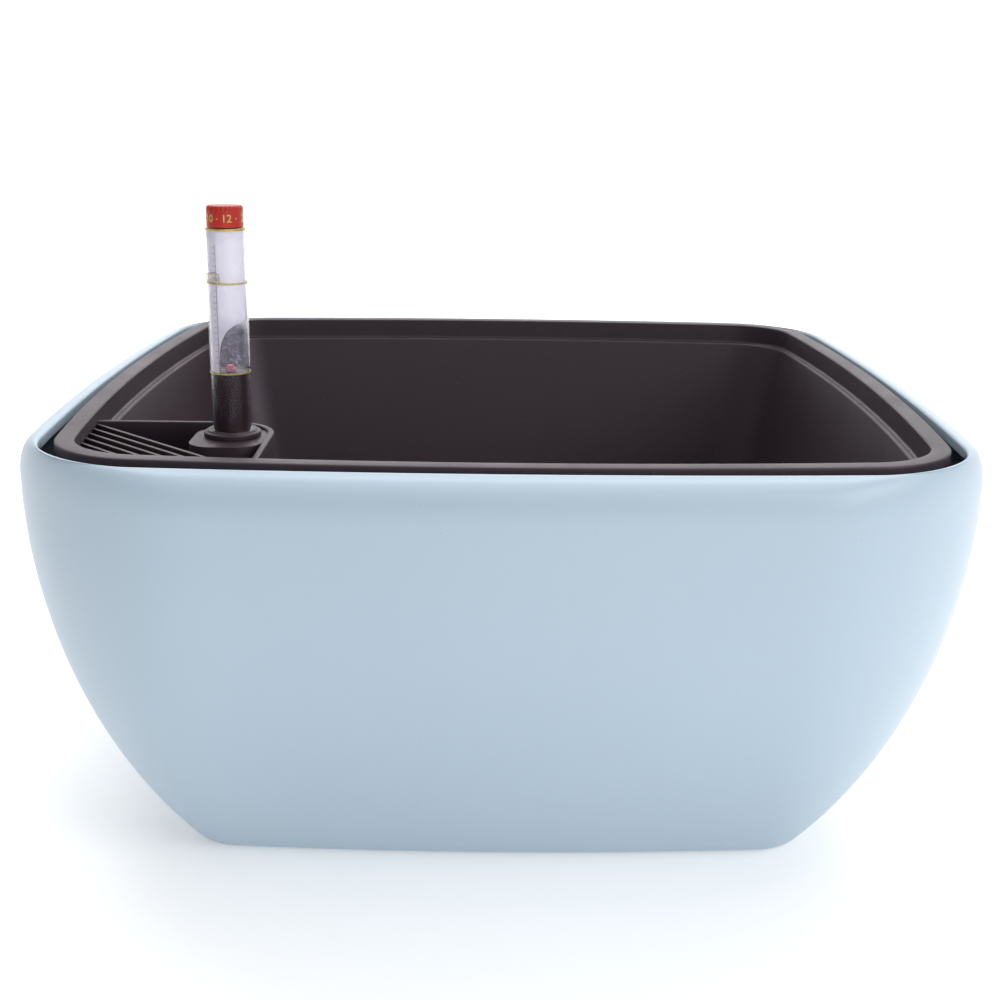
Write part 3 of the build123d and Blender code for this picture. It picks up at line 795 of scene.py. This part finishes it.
def makeBarTree():
    # A row of equal bars, a pitch apart, kept only where they lie inside another object.
    tree, given = newGeometryTree("grilleBars", [
        ("Count", "Int", 6), ("Pitch", "Float", 0.005), ("First", "Float", 0.02), ("Width", "Float", 0.002),
        ("Height", "Float", 0.004), ("Length", "Float", 0.2), ("Turn", "Float", 0.0),
        ("Space", "Object", None), ("Place", "Vector", None), ("Material", "Material", None)])
    size = addNode(tree, "ShaderNodeCombineXYZ",
                   {"X": given["Width"], "Y": given["Length"], "Z": given["Height"]})
    bar = addNode(tree, "GeometryNodeMeshCube", {"Size": size})
    start = addNode(tree, "ShaderNodeCombineXYZ", {"X": given["First"] * -1})
    stride = addNode(tree, "ShaderNodeCombineXYZ", {"X": given["Pitch"] * -1})
    line = addNode(tree, "GeometryNodeMeshLine", {"Count": given["Count"], "Start Location": start,
                                                  "Offset": stride})
    bars = addNode(tree, "GeometryNodeInstanceOnPoints", {"Points": line, "Instance": bar})
    turned = addNode(tree, "ShaderNodeCombineXYZ", {"Z": given["Turn"]})
    placed = addNode(tree, "GeometryNodeTransform", {"Geometry": bars, "Translation": given["Place"],
                                                     "Rotation": turned})
    whole = addNode(tree, "GeometryNodeRealizeInstances", {"Geometry": placed})
    space = addNode(tree, "GeometryNodeObjectInfo", {"Object": given["Space"]}, output=4)
    cut = tree.nodes.new("GeometryNodeMeshBoolean")
    cut.operation = "INTERSECT"
    tree.links.new(whole.socket, cut.inputs[1])
    tree.links.new(space.socket, cut.inputs[1])
    endTree(tree, Value(tree, cut.outputs[0]), given["Material"])
    return tree


def makeGrille():
    # The bars end just inside the walls, where they are moulded on.
    top = seatHigh.z
    bandRow = linerRow(liner["bandHalf"] + pocket["sink"], liner["top"])
    rows = [bandRow[:3] + (z,) for z in (top - pocket["spaceBelow"], top + pocket["spaceAbove"])]
    space = planPiece("grilleSpace", rows, linerPlastic)
    piece = newPiece("fillGrille", [], [])
    runTree(piece, makeBarTree(), {
        "Count": pocket["barCount"], "Pitch": pocket["barPitch"], "First": pocket["firstBar"],
        "Width": pocket["barWidth"], "Height": pocket["barHeight"], "Length": pocket["barReach"],
        "Turn": math.radians(pocket["barTurn"]), "Space": space,
        "Place": (gaugeX, gaugeY, top - pocket["barHeight"] / 2), "Material": linerPlastic})
    bpy.data.objects.remove(space)
    trimRight(piece, pocket["sideX"])
    outward(piece)
    bevel = piece.modifiers.new("rounded", "BEVEL")
    bevel.width = pocket["barRound"]
    bevel.segments = 3
    bevel.angle_limit = math.radians(50)
    bakeModifiers(piece)
    smoothShade(piece, 40)
    return finishPiece(piece, None, "liner", "liner_brown", "fill_grille")


def trimRight(piece, limit):
    # drops what lies beyond the partition
    work = bmesh.new()
    work.from_mesh(piece.data)
    geometry = work.verts[:] + work.edges[:] + work.faces[:]
    cut = bmesh.ops.bisect_plane(work, geom=geometry, plane_co=(limit, 0, 0), plane_no=(1, 0, 0),
                                 clear_outer=True)
    edges = [item for item in cut["geom_cut"] if isinstance(item, bmesh.types.BMEdge)]
    bmesh.ops.holes_fill(work, edges=edges)
    work.to_mesh(piece.data)
    work.free()


def softCopy(name, node, width, material, body, slotName, segments=3, degrees=40):
    # A copy of a CAD node with its sharp edges rounded.
    piece = newObject(name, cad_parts[node].data.copy())
    work = bmesh.new()
    work.from_mesh(piece.data)
    bmesh.ops.remove_doubles(work, verts=work.verts, dist=2e-6)
    bmesh.ops.dissolve_limit(work, angle_limit=math.radians(1), verts=work.verts, edges=work.edges)
    work.to_mesh(piece.data)
    work.free()
    bevel = piece.modifiers.new("rounded", "BEVEL")
    bevel.width = width
    bevel.segments = segments
    bevel.angle_limit = math.radians(degrees)
    bakeModifiers(piece)
    smoothShade(piece, 38)
    return finishPiece(piece, material, body, slotName, node)


makeLiner()
makePartition()
makeGrille()
softCopy("gaugeSeat", "gauge_seat", 0.0009, linerPlastic, "liner", "liner_brown")
for corner in ("front_left", "front_right", "rear_left", "rear_right"):
    softCopy("wickBasket_" + corner, "wick_basket_" + corner, 0.0003, linerPlastic, "liner", "liner_brown", 2)
print("liner made")


gauge = {
    "tubeWall": 0.0005, "tubeRound": 0.0002, "bandRound": 0.00004,
    "bandHeight": 0.0006, "bandThick": 0.00012, "middleBand": 0.0359,
    "filmGap": 0.00008, "filmThick": 0.0003,
}
tubeRadius = (tubeHigh.x - tubeLow.x) / 2


def ringProfile(inner, outer, low, high, rounding):
    corners = [(inner, (low + high) / 2, 0), (inner, low, rounding), (outer, low, rounding),
               (outer, high, rounding), (inner, high, rounding), (inner, (low + high) / 2, 0)]
    return softProfile(corners, steps=4)[:-1]


collar = {"bore": 0.0078, "spigot": 0.0095, "radius": 0.0115, "step": 0.0009, "shoulder": 0.0104,
          "crown": 0.0099, "round": 0.0004}


def makeCollar():
    low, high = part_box("gauge_collar")
    bore, radius, rounding = collar["bore"], collar["radius"], collar["round"]
    middle = low.z + 0.004
    profile = softProfile([
        (bore, middle, 0), (bore, low.z, 0.0003), (collar["spigot"], low.z, 0.0005),
        (collar["spigot"], seatHigh.z, 0.0001), (radius, seatHigh.z, 0.0003),
        (radius, high.z - collar["step"], 0.0006),
        (collar["shoulder"], high.z - collar["step"] * 0.75, rounding), (collar["crown"], high.z, rounding),
        (bore, high.z, rounding), (bore, middle, 0)], steps=4)[:-1]
    piece = lathePiece("gaugeCollar", profile, closed=True)
    return finishPiece(piece, linerPlastic, "liner", "liner_brown", "gauge_collar")


def makeTube():
    profile = ringProfile(tubeRadius - gauge["tubeWall"], tubeRadius, tubeLow.z, tubeHigh.z,
                          gauge["tubeRound"])
    piece = lathePiece("sightTube", profile, segments=128, closed=True)
    return finishPiece(piece, clearPlastic, "gauge", "clear_tube", "sight_tube")


def makeBands():
    # one gold line at the stem's top, with the CAD node's name, and one at the middle
    for name, level, nodes in (("levelBands", stemHigh.z, ["level_bands"]),
                               ("levelBandUpper", stemHigh.z + gauge["middleBand"], [])):
        profile = ringProfile(tubeRadius, tubeRadius + gauge["bandThick"], level - gauge["bandHeight"] / 2,
                              level + gauge["bandHeight"] / 2, gauge["bandRound"])
        finishPiece(lathePiece(name, profile, closed=True), goldPrint, "gauge", "gold_print", *nodes)


film = {"cutTop": 0.355, "cutRight": 0.90, "cutWidth": 1.51, "cutPower": 2.6, "wrap": 84,
        "back": 136, "columns": 60}


def filmEdge(share):
    # the film's cut edge climbs steeply on the left, then rounds over to the right
    if share > film["cutTop"]:
        return cameraSide + math.radians(film["wrap"])
    rise = share / film["cutTop"]
    across = film["cutRight"] - film["cutWidth"] * (1 - rise ** film["cutPower"]) ** (1 / film["cutPower"])
    return cameraSide + math.asin(across)


def makeFilm():
    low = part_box("scale_insert")[0]
    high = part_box("dial_ring")[0]
    outer = tubeRadius - gauge["tubeWall"] - gauge["filmGap"]
    inner = outer - gauge["filmThick"]
    columns = film["columns"]
    back = math.radians(film["back"] - 360)
    shares = [film["cutTop"] * math.sin(math.pi / 2 * step / 28) for step in range(29)]
    shares += [film["cutTop"] + (1 - film["cutTop"]) * step / 16 for step in range(1, 17)]
    rows = len(shares) - 1
    vertices, faces = [], []
    for share in shares:
        z = low.z + (high.z - low.z) * share
        front = filmEdge(share)
        for column in range(columns + 1):
            angle = back + (front - back) * column / columns
            vertices += [onGauge(radius, angle, z) for radius in (outer, inner)]
    wide = 2 * (columns + 1)
    for row in range(rows):
        for column in range(columns):
            first = row * wide + 2 * column
            for side in (0, 1):
                faces.append([first + side, first + side + 2, first + side + wide + 2, first + side + wide])
        for first in (row * wide, row * wide + 2 * columns):
            faces.append([first, first + 1, first + wide + 1, first + wide])
    for first in (0, rows * wide):
        for column in range(columns):
            start = first + 2 * column
            faces.append([start, start + 1, start + 3, start + 2])
    piece = smoothShade(outward(newPiece("scaleInsert", vertices, faces)), 40)
    return finishPiece(piece, scaleFilm, "gauge", "scale_film", "scale_insert")


mist = {"from": -42, "to": 84, "thick": 0.00004, "gap": 0.00005, "lift": 0.0012, "lap": 0.0004}


def makeMist():
    # A fine mist of drops inside the clear wall, where the film is cut away.
    low, high = stemHigh.z + mist["lift"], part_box("scale_insert")[0].z
    high += film["cutTop"] * (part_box("dial_ring")[0].z - high) + mist["lap"]
    radius = tubeRadius - gauge["tubeWall"] - gauge["filmGap"] - gauge["filmThick"] - mist["gap"]
    start, end = (cameraSide + math.radians(mist[side]) for side in ("from", "to"))
    vertices, faces = curvedBox(radius, mist["thick"], start, end, low, high)
    piece = smoothShade(outward(newPiece("mistedWall", vertices, faces)), 40)
    return finishPiece(piece, tubeMist, "gauge", "clear_tube")


def makeTickTree():
    # Short ticks one above another, every fifth one longer.
    tree, given = newGeometryTree("scaleTicks", [
        ("Count", "Int", 20), ("Pitch", "Float", 0.002), ("Length", "Float", 0.001),
        ("Line", "Float", 0.0001), ("Every", "Int", 5), ("Turn", "Float", 0.0), ("Start", "Vector", None),
        ("Material", "Material", None)])
    stride = addNode(tree, "ShaderNodeCombineXYZ", {"Z": given["Pitch"]})
    line = addNode(tree, "GeometryNodeMeshLine", {"Count": given["Count"], "Offset": stride})
    index = addNode(tree, "GeometryNodeInputIndex", {})
    whole = index.maths("MODULO", given["Every"]).maths("LESS_THAN", 0.5)
    stretch = addNode(tree, "ShaderNodeCombineXYZ", {"X": whole + 1.0, "Y": 1.0, "Z": 1.0})
    size = addNode(tree, "ShaderNodeCombineXYZ",
                   {"X": given["Length"], "Y": given["Line"], "Z": given["Line"]})
    tick = addNode(tree, "GeometryNodeMeshCube", {"Size": size})
    ticks = addNode(tree, "GeometryNodeInstanceOnPoints",
                    {"Points": line, "Instance": tick, "Scale": stretch})
    turned = addNode(tree, "ShaderNodeCombineXYZ", {"Z": given["Turn"]})
    placed = addNode(tree, "GeometryNodeTransform", {"Geometry": ticks, "Translation": given["Start"],
                                                     "Rotation": turned})
    endTree(tree, placed, given["Material"])
    return tree


def makeScale():
    # A thin upright line on the film with ticks beside it.
    scale = {"turn": -35, "tickTurn": -7, "count": 20, "pitch": 0.0024, "length": 0.0011, "line": 0.00014,
             "lift": 0.004, "inset": 0.0015, "proud": 0.00012, "every": 5}
    low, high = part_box("scale_insert")
    radius = tubeRadius - gauge["tubeWall"] - gauge["filmGap"] + scale["proud"]
    angle = cameraSide + math.radians(scale["turn"] + scale["tickTurn"])
    start = onGauge(radius, angle, low.z + scale["lift"])
    ticks = newPiece("scaleTicks", [], [])
    runTree(ticks, makeTickTree(), {
        "Count": scale["count"], "Pitch": scale["pitch"], "Length": scale["length"], "Line": scale["line"],
        "Every": scale["every"], "Turn": angle + math.pi / 2, "Start": start, "Material": scaleInk})
    finishPiece(ticks, None, "gauge", "scale_film")
    turn = cameraSide + math.radians(scale["turn"])
    half = scale["line"] / radius / 2
    vertices, faces = curvedBox(radius, scale["line"] * 3 / 7, turn - half, turn + half,
                                low.z + scale["inset"], high.z - scale["inset"])
    finishPiece(outward(newPiece("scaleLine", vertices, faces)), scaleInk, "gauge", "scale_film")


def curvedBox(radius, thick, start, end, low, high):
    # vertices and faces of a slab wrapped on the gauge's axis
    steps = max(2, int((end - start) / 0.06) + 1)
    vertices, faces = [], []
    for step in range(steps + 1):
        angle = start + (end - start) * step / steps
        for reach, z in ((radius, low), (radius + thick, low), (radius + thick, high), (radius, high)):
            vertices.append(onGauge(reach, angle, z))
    for step in range(steps):
        for side in range(4):
            first, second = 4 * step + side, 4 * step + (side + 1) % 4
            faces.append([first, first + 4, second + 4, second])
    faces += [[3, 2, 1, 0], [4 * steps + side for side in range(4)]]
    return vertices, faces


def makePanel():
    # A gold outlined panel with plain bars in it, printed on the tube above the middle band.
    panel = {"from": -84, "to": -22, "height": 0.0036, "line": 0.00028, "bars": 5, "proud": 0.00001,
             "joint": 1.02, "margin": 0.7, "foot": 0.0006, "tall": 0.62, "short": 0.42}
    low = stemHigh.z + gauge["middleBand"] + gauge["bandHeight"] / 2
    radius = tubeRadius + panel["proud"]
    start, end = (cameraSide + math.radians(panel[side]) for side in ("from", "to"))
    thin = panel["line"] / radius
    sideTop = low + panel["height"] - panel["joint"] * panel["line"]
    slabs = [(start, end, low + panel["height"] - panel["line"], low + panel["height"]),
             (start, start + thin, low, sideTop), (end - thin, end, low, sideTop)]
    for bar in range(panel["bars"]):
        share = (bar + panel["margin"]) / (panel["bars"] - 1 + 2 * panel["margin"])
        middle = start + (end - start) * share
        tall = panel["height"] * (panel["tall"] if bar % 2 else panel["short"])
        foot = low + panel["foot"]
        slabs.append((middle - thin / 2, middle + thin / 2, foot, foot + tall))
    vertices, faces = [], []
    for slab in slabs:
        more, ends = curvedBox(radius, gauge["bandThick"], *slab)
        faces += [[corner + len(vertices) for corner in face] for face in ends]
        vertices += more
    piece = outward(newPiece("levelPanel", vertices, faces))
    finishPiece(piece, goldPrint, "gauge", "gold_print")


dial = {"bottom": 0.0073, "top": 0.0072, "bore": 0.00305, "boreDepth": 0.0065, "lipRound": 0.0004,
        "topRound": 0.0012, "grips": 24, "gripDepth": 0.0004, "gripHeight": 0.0026, "gripTurn": 15,
        "gripFade": 0.0008}


def makeDial():
    # Red cap with scallops round its top edge and a bore for the spindle.
    low, high = capLow.z, capHigh.z
    profile = softProfile([(dial["bore"], low + dial["boreDepth"], 0), (dial["bore"], low, 0.0002),
                           (dial["bottom"], low, dial["lipRound"]), (dial["top"], high, dial["topRound"]),
                           (0.0, high, 0)], steps=10)
    profile.insert(0, (0.0, low + dial["boreDepth"]))
    dense = []
    for (r0, z0), (r1, z1) in zip(profile, profile[1:]):
        count = 10 if abs(z1 - z0) > 0.002 and r0 > 0.004 else 1
        dense += [(r0 + (r1 - r0) * step / count, z0 + (z1 - z0) * step / count) for step in range(count)]
    dense.append(profile[-1])
    piece = lathePiece("dialCap", dense, segments=192)
    for vertex in piece.data.vertices:
        spoke = Vector((vertex.co.x - gaugeX, vertex.co.y - gaugeY))
        rise = vertex.co.z - (high - dial["gripHeight"])
        if spoke.length < 0.004 or rise < 0:
            continue
        depth = dial["gripDepth"] * min(rise / dial["gripFade"], 1.0)
        turn = math.atan2(spoke.y, spoke.x) - cameraSide + math.radians(dial["gripTurn"])
        wave = max(math.cos(dial["grips"] * turn), 0) ** 2
        spoke *= 1 - depth * wave / spoke.length
        vertex.co.x, vertex.co.y = gaugeX + spoke.x, gaugeY + spoke.y
    return finishPiece(piece, dialPlastic, "dial", "dial_red", "dial_cap")


def capRadiusAt(z):
    return dial["bottom"] + (dial["top"] - dial["bottom"]) * (z - capLow.z) / (capHigh.z - capLow.z)


def makeDialMarks():
    # Month numbers round the cap, every second one, with a dot between them.
    marks = {"size": 0.0042, "height": 0.0035, "proud": 0.00006, "thick": 0.00012, "dot": 0.00032,
             "turn": 5}
    level = capLow.z + marks["height"]
    numbers = []
    for month in range(2, 13, 2):
        angle = cameraSide + math.radians(60 * (month / 2 - 6) + marks["turn"])
        letters = bpy.data.curves.new("month", "FONT")
        letters.body = str(month)
        letters.size = marks["size"]
        letters.align_x = "CENTER"
        letters.align_y = "CENTER"
        letters.extrude = marks["thick"] / 2
        carrier = newObject("month", letters)
        bpy.context.view_layer.update()
        mesh = bpy.data.meshes.new_from_object(carrier)
        bpy.data.objects.remove(carrier)
        work = bmesh.new()
        work.from_mesh(mesh)
        bmesh.ops.remove_doubles(work, verts=work.verts, dist=1e-7)
        for vertex in work.verts:
            z = level + vertex.co.y
            radius = capRadiusAt(z) + marks["proud"] + vertex.co.z
            turn = angle + vertex.co.x / radius
            vertex.co = onGauge(radius, turn, z)
        work.to_mesh(mesh)
        work.free()
        numbers.append(mesh)
    join = bmesh.new()
    for mesh in numbers:
        join.from_mesh(mesh)
    whole = bpy.data.meshes.new("dialNumbers")
    join.to_mesh(whole)
    join.free()
    finishPiece(newObject("dialNumbers", whole), goldPrint, "dial", "gold_print")
    dots = newPiece("dialDots", [], [])
    runTree(dots, makeDotTree(), {"Count": 6, "Ring": capRadiusAt(level), "Dot": marks["dot"],
                                  "Turn": cameraSide + math.radians(marks["turn"] + 30),
                                  "Centre": (gaugeX, gaugeY, level), "Material": goldPrint})
    smoothShade(dots)
    finishPiece(dots, None, "dial", "gold_print")


def makeDotTree():
    # Small raised dots evenly spaced on a ring.
    tree, given = newGeometryTree("ringDots", [
        ("Count", "Int", 6), ("Ring", "Float", 0.007), ("Dot", "Float", 0.0003), ("Turn", "Float", 0.0),
        ("Centre", "Vector", None), ("Material", "Material", None)])
    ring = addNode(tree, "GeometryNodeMeshCircle", {"Vertices": given["Count"], "Radius": given["Ring"]})
    dot = addNode(tree, "GeometryNodeMeshIcoSphere", {"Radius": given["Dot"], "Subdivisions": 3})
    dots = addNode(tree, "GeometryNodeInstanceOnPoints", {"Points": ring, "Instance": dot})
    turned = addNode(tree, "ShaderNodeCombineXYZ", {"Z": given["Turn"]})
    placed = addNode(tree, "GeometryNodeTransform", {"Geometry": dots, "Translation": given["Centre"],
                                                     "Rotation": turned})
    endTree(tree, placed, given["Material"])
    return tree


def barProfile(node, rounding):
    # a plain round bar that fills a CAD node's box
    low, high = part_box(node)
    radius = (high.x - low.x) / 2
    return softProfile([(0, low.z, 0), (radius, low.z, rounding), (radius, high.z, rounding),
                        (0, high.z, 0)])


def makeFloat():
    # The float, its rod and the red tip, turned on the gauge's axis.
    body = lathePiece("floatBody", barProfile("float", 0.0008), 64)
    finishPiece(body, floatFoam, "float", "float_foam", "float")
    stick = lathePiece("floatRod", barProfile("float_rod", 0.0001), 32)
    finishPiece(stick, rodPlastic, "float", "float_rod", "float_rod")
    shape = {"flange": 0.0009, "neck": 0.0012, "neckShare": 0.75, "topShare": 0.72, "topRound": 0.0006}
    low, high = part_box("indicator_tip")
    radius = (high.x - low.x) / 2
    tip = lathePiece("indicatorTip", softProfile([
        (0, low.z, 0), (radius, low.z, 0.0002), (radius, low.z + shape["flange"], 0.0003),
        (radius * shape["neckShare"], low.z + shape["neck"], 0.0002),
        (radius * shape["topShare"], high.z, shape["topRound"]), (0, high.z, 0)]), 48)
    finishPiece(tip, tipPlastic, "float", "tip_red", "indicator_tip")


makeCollar()
softCopy("gaugeStem", "gauge_stem", 0.0002, stemPlastic, "gauge", "liner_brown", 2)
makeTube()
makeBands()
makeFilm()
makeMist()
makeScale()
makePanel()
makeDial()
makeDialMarks()
makeFloat()
softCopy("lowerGuide", "lower_guide", 0.0002, linerPlastic, "liner", "liner_brown", 2)
softCopy("stemFoot", "stem_foot", 0.0002, linerPlastic, "gauge", "liner_brown", 2)
softCopy("stemGuide", "stem_guide", 0.00015, linerPlastic, "gauge", "liner_brown", 2)
softCopy("dialPlug", "dial_plug", 0.0002, clearPlastic, "gauge", "clear_tube", 2)
softCopy("dialRing", "dial_ring", 0.0002, goldPrint, "gauge", "gold_print", 2)
softCopy("drainPlug", "drain_plug", 0.0005, bungPlastic, "drain_plug", "drain_grey", 3)
softCopy("drainPlugSeal", "drain_plug_seal", 0.0003, sealRubber, "drain_plug", "seal_rubber", 3)
print("gauge made")


def makeStage():
    # a paper sweep: flat, then curving up behind
    front, bend, radius, top, half = -4.0, 1.2, 1.5, 5.0, 6
    line = [(front, 0.0)]
    line += [(bend + radius * math.sin(a), radius - radius * math.cos(a)) for a in
             (math.pi / 2 * step / 24 for step in range(25))]
    line.append((bend + radius, top))
    vertices = [(x, y, z) for y, z in line for x in (-half, half)]
    floor = newPiece("floor", vertices, [[2 * row, 2 * row + 1, 2 * row + 3, 2 * row + 2]
                                         for row in range(len(line) - 1)])
    floor.data.shade_smooth()
    material, tree, shader = newMaterial("floorPaper")
    cloud = noise(tree, objectPlace(tree), 3.0, detail=2.0)
    colour = colourMix(tree, ramp(tree, cloud, 0.3, 0.7), (0.93, 0.93, 0.93, 1), (0.95, 0.95, 0.95, 1))
    tree.links.new(colour.socket, shader.inputs["Base Color"])
    shader.inputs["Roughness"].default_value = 0.9
    shader.inputs["Specular IOR Level"].default_value = 0.1
    shader.inputs["Emission Color"].default_value = (1, 1, 1, 1)
    shader.inputs["Emission Strength"].default_value = 0.26
    floor.data.materials.append(material)


lights = [
    # name, place, what it points at, size, power
    ("keyRight", (1.5, -1.3, 1.3), (0, 0, 0.1), (1.2, 1.2), 20),
    ("top", (0.2, 0.1, 2.0), (0, 0, 0.1), (1.8, 1.8), 12),
    ("front", (0.5, -2.4, 0.42), (0, 0, 0.0), (1.6, 0.8), 5),
    ("backdrop", (0.0, 0.9, 2.6), (0, 2.2, 0.4), (3.0, 1.0), 62),
]


def addLight(name, place, aim, size, power):
    light = bpy.data.lights.new(name, "AREA")
    light.shape = "RECTANGLE"
    light.size, light.size_y = size
    light.energy = power
    lamp = newObject(name, light)
    lamp.location = place
    lamp.rotation_euler = (Vector(aim) - Vector(place)).to_track_quat("-Z", "Y").to_euler()


def makeLight():
    world = bpy.data.worlds.new("studio")
    world.use_nodes = True
    sky = world.node_tree.nodes["Background"]
    sky.inputs["Color"].default_value = (1, 1, 1, 1)
    sky.inputs["Strength"].default_value = 0.36
    bpy.context.scene.world = world
    for lamp in lights:
        addLight(*lamp)
    bpy.context.scene.view_settings.view_transform = "Standard"


def makeCamera():
    view = {"place": (0.00022, -0.6925, 0.31277), "pitch": 15.602, "yaw": 0.65, "roll": 0.777,
            "pan": 0.012, "focal": 1.45367}
    data = bpy.data.cameras.new("camera")
    data.sensor_width = 36
    data.lens = 36 * view["focal"]
    data.clip_start = 0.01
    camera = newObject("camera", data)
    turn = Matrix.Rotation(math.radians(-view["yaw"]), 4, "Z")
    aim = (Matrix.Rotation(math.radians(-view["yaw"] - view["pan"]), 4, "Z")
           @ Matrix.Rotation(math.radians(90 - view["pitch"]), 4, "X")
           @ Matrix.Rotation(math.radians(view["roll"]), 4, "Z"))
    camera.matrix_world = Matrix.Translation(turn @ Vector(view["place"])) @ aim
    bpy.context.scene.camera = camera


makeStage()
makeLight()
makeCamera()
print("stage made")
